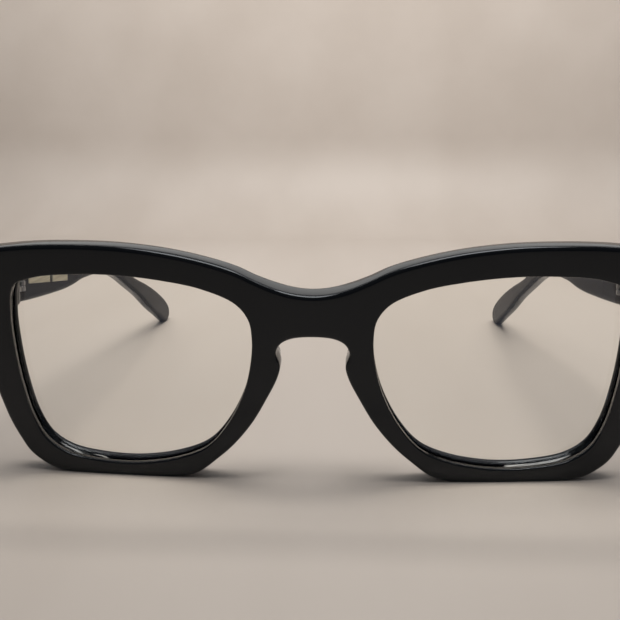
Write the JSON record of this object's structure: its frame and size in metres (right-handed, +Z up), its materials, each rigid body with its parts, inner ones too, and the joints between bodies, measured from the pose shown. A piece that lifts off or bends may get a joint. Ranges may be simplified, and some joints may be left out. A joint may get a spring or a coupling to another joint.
{
  "type": "blue light glasses",
  "caption": "Thick-rimmed acetate glasses with a keyhole bridge, clear lenses and temples that fold on barrel hinges.",
  "frame": {"origin": "on the resting surface, in the middle of the bounding box, with the glasses open", "axes": "+X to the wearer's left, +Y from the front towards the temple tips, +Z up"},
  "size_m": [0.1452, 0.1524, 0.0515],
  "materials": {
    "acetate": "polished black cellulose acetate",
    "lens": "clear with a faint coating",
    "nose_pad": "clear silicone",
    "hinge_steel": "satin",
    "inlay": "pale foil, satin"
  },
  "bodies": {
    "front": {"front_frame": "acetate", "lens_left": "lens", "lens_right": "lens", "nose_pad_left": "nose_pad", "nose_pad_right": "nose_pad", "hinge_front_leaf_left": "hinge_steel", "hinge_front_leaf_right": "hinge_steel", "hinge_screw_left": "hinge_steel", "hinge_screw_right": "hinge_steel"},
    "left_temple": {"temple_left": "acetate", "hinge_temple_leaf_left": "hinge_steel", "core_wire_left": "hinge_steel"},
    "right_temple": {"temple_right": "acetate", "hinge_temple_leaf_right": "hinge_steel", "core_wire_right": "hinge_steel", "inlay_bar_1": "inlay", "inlay_bar_2": "inlay"}
  },
  "joints": [
    {"name": "left_temple_fold", "type": "hinge", "parent": "front", "child": "left_temple", "pos_m": [0.06385, -0.06179, 0.0423], "axis": [0, 0.1045, 0.9945], "range_deg": [0, 88]},
    {"name": "right_temple_fold", "type": "hinge", "parent": "front", "child": "right_temple", "pos_m": [-0.06385, -0.06179, 0.0423], "axis": [0, -0.1045, -0.9945], "range_deg": [0, 80]}
  ]
}
